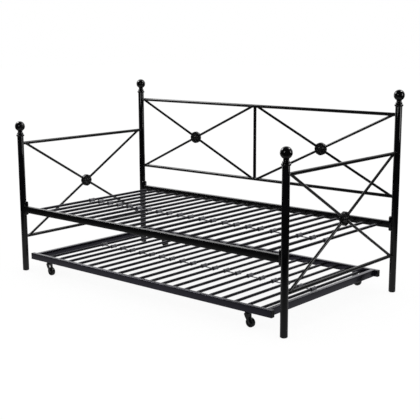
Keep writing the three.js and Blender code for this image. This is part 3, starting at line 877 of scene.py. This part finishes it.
# Lengths in metres, angles in degrees
FLOOR_SIZE = 60.0
FLOOR_COLOUR = (0.9, 0.9, 0.9, 1.0)
FLOOR_WHITE = 1.05      # strength of the floor's own plain white
FLOOR_GLOW = 0.85       # share of the floor that is plain white; the rest takes the shadow
SKY_LEVEL = 0.9         # the plain soft light from all round

# Softboxes: name, place, width, height and radiance
SOFTBOXES = (
    ("left", (-3.2, -0.6, 3.6), 1.7, 1.6, 10.5),
    ("back_overhead", (2.05, 2.65, 4.75), 1.8, 1.7, 10.5),
    ("right_strip", (3.2, 0.85, 1.50), 0.8, 1.2, 5.0),
    ("front", (0.9, -4.0, 2.15), 0.9, 1.0, 5.0),
)

# Painted shade that only gloss sees: black sheets for the unlit studio on the camera's side, and
# for the dimly lit paper on its ground.
# From PAPER_EDGE to DARK_FROM around its middle, the painted shade over the paper goes from its
# clearest to black.
ROOM_RADIUS, ROOM_HEIGHT = 6.0, 5.5
ROOM_START, ROOM_END, ROOM_STEPS = -165.0, 62.0, 24
# painted shade: the black that gloss sees in place of the unlit studio and the paper's far ground
PAINTED_SHADE_BLACK = (0.02, 0.02, 0.02, 1.0)
PAPER_LIFT = 0.001
PAPER_MIDDLE = Vector((-0.58, 0.20, 0.0))
PAPER_SHAPE = (0.88, 1.35, 1.0)
PAPER_EDGE, DARK_FROM = 1.0, 2.9
PAPER_CLEAR = 0.41


def join(tree, *pairs):
    """Links each output to the input after it."""
    for output, socket in pairs:
        tree.links.new(output, socket)


def empty_material(name):
    """A new material with nothing in it but its output's surface socket."""
    material = bpy.data.materials.new(name)
    material.use_nodes = True
    tree = material.node_tree
    tree.nodes.clear()
    return material, tree, tree.nodes.new("ShaderNodeOutputMaterial").inputs["Surface"]


def seen_directly(tree):
    """1 for what the camera sees, by itself or through a reflection or glass."""
    path = tree.nodes.new("ShaderNodeLightPath")
    total = path.outputs["Is Camera Ray"]
    for name in ("Is Glossy Ray", "Is Transmission Ray"):
        node = tree.nodes.new("ShaderNodeMath")
        node.operation = "MAXIMUM"
        tree.links.new(total, node.inputs[0])
        tree.links.new(path.outputs[name], node.inputs[1])
        total = node.outputs[0]
    return total


def make_floor():
    """The white ground: plain white to the eye, but for a share that takes the bed's shadow."""
    mesh = bmesh.new()
    bmesh.ops.create_grid(mesh, x_segments=1, y_segments=1, size=FLOOR_SIZE / 2)
    data = bpy.data.meshes.new("floor")
    mesh.to_mesh(data)
    mesh.free()
    floor = bpy.data.objects.new("floor", data)
    bpy.context.scene.collection.objects.link(floor)
    material, tree, surface = empty_material("floor_paper")
    paper = tree.nodes.new("ShaderNodeBsdfDiffuse")
    paper.inputs["Color"].default_value = FLOOR_COLOUR
    glow = tree.nodes.new("ShaderNodeEmission")
    glow.inputs["Strength"].default_value = FLOOR_WHITE
    share = tree.nodes.new("ShaderNodeMath")
    share.operation = "MULTIPLY"
    share.inputs[1].default_value = FLOOR_GLOW
    mix = tree.nodes.new("ShaderNodeMixShader")
    join(tree, (seen_directly(tree), share.inputs[0]), (share.outputs[0], mix.inputs["Fac"]),
         (paper.outputs[0], mix.inputs[1]), (glow.outputs[0], mix.inputs[2]),
         (mix.outputs[0], surface))
    data.materials.append(material)


def make_world():
    """A plain white sky, which lights the bed at SKY_LEVEL and looks pure white itself."""
    world = bpy.data.worlds.new("studio")
    bpy.context.scene.world = world
    world.use_nodes = True
    tree = world.node_tree
    background = tree.nodes["Background"]
    background.inputs["Color"].default_value = (1, 1, 1, 1)
    level = between(tree, seen_directly(tree), SKY_LEVEL, 1.0)
    tree.links.new(level, background.inputs["Strength"])


def make_softboxes():
    """Large lamps turned to the bed, which only gloss sees. The sky gives the plain soft light."""
    middle = (cad_box[0] + cad_box[1]) / 2
    for name, place, width, height, radiance in SOFTBOXES:
        data = bpy.data.lights.new(f"softbox_{name}", "AREA")
        data.shape = "RECTANGLE"
        data.size, data.size_y = width, height
        data.energy = radiance * math.pi * width * height
        lamp = bpy.data.objects.new(f"softbox_{name}", data)
        turn = (Vector(place) - middle).to_track_quat("Z", "Y")
        lamp.matrix_world = Matrix.Translation(place) @ turn.to_matrix().to_4x4()
        lamp.visible_diffuse = False
        lamp.visible_camera = False
        bpy.context.scene.collection.objects.link(lamp)


def painted_shade_material(name, fades):
    """Painted shade in plain black. Where it fades, the share PAPER_CLEAR of its middle is clear,
    so the paper seen through it looks dimly lit.
    """
    material, tree, surface = empty_material(name)
    black = tree.nodes.new("ShaderNodeEmission")
    black.inputs["Color"].default_value = PAINTED_SHADE_BLACK
    if not fades:
        tree.links.new(black.outputs[0], surface)
        return material
    where = tree.nodes.new("ShaderNodeTexCoord")
    offset, shape, distance = [tree.nodes.new("ShaderNodeVectorMath") for _ in range(3)]
    offset.operation, shape.operation, distance.operation = "SUBTRACT", "MULTIPLY", "LENGTH"
    offset.inputs[1].default_value = PAPER_MIDDLE
    shape.inputs[1].default_value = PAPER_SHAPE
    # The painted shade over the paper grows from the middle outwards
    fade = tree.nodes.new("ShaderNodeMapRange")
    fade.interpolation_type = "SMOOTHSTEP"
    fade.inputs["From Min"].default_value = PAPER_EDGE
    fade.inputs["From Max"].default_value = DARK_FROM
    fade.inputs["To Min"].default_value = 1 - PAPER_CLEAR
    clear = tree.nodes.new("ShaderNodeBsdfTransparent")
    mix = tree.nodes.new("ShaderNodeMixShader")
    join(tree, (where.outputs["Object"], offset.inputs[0]),
         (offset.outputs["Vector"], shape.inputs[0]),
         (shape.outputs["Vector"], distance.inputs[0]),
         (distance.outputs["Value"], fade.inputs["Value"]),
         (fade.outputs["Result"], mix.inputs["Fac"]), (clear.outputs[0], mix.inputs[1]),
         (black.outputs[0], mix.inputs[2]), (mix.outputs[0], surface))
    return material


def make_painted_shade_room():
    """Painted shade seen only in reflections: part of a round black room, with a ceiling, and a
    round black sheet on its ground.
    """
    span = ROOM_END - ROOM_START
    angles = [math.radians(ROOM_START + span * k / ROOM_STEPS) for k in range(ROOM_STEPS + 1)]
    foot = [Vector((math.cos(a), math.sin(a), 0)) * ROOM_RADIUS for a in angles]
    up = Vector((0, 0, ROOM_HEIGHT))
    walls, ground = bmesh.new(), bmesh.new()
    low = [walls.verts.new(point) for point in foot]
    high = [walls.verts.new(point + up) for point in foot]
    for i in range(ROOM_STEPS):
        walls.faces.new((low[i], low[i + 1], high[i + 1], high[i]))
    walls.faces.new(high)
    ground.faces.new([ground.verts.new(point) for point in
                      circle(ROOM_RADIUS, 3 * ROOM_STEPS, PAPER_LIFT)])
    for name, mesh, fades in (("painted_shade_walls", walls, False), ("painted_shade_ground", ground, True)):
        data = bpy.data.meshes.new(name)
        mesh.to_mesh(data)
        mesh.free()
        data.materials.append(painted_shade_material(name, fades))
        piece = bpy.data.objects.new(name, data)
        bpy.context.scene.collection.objects.link(piece)
        # Only gloss sees these sheets, so they paint shade into reflections and nowhere else
        piece.visible_camera = False
        piece.visible_diffuse = False
        piece.visible_transmission = False
        piece.visible_shadow = False


make_camera()
make_floor()
make_world()
make_painted_shade_room()
make_softboxes()
bpy.context.scene.view_settings.view_transform = "Standard"
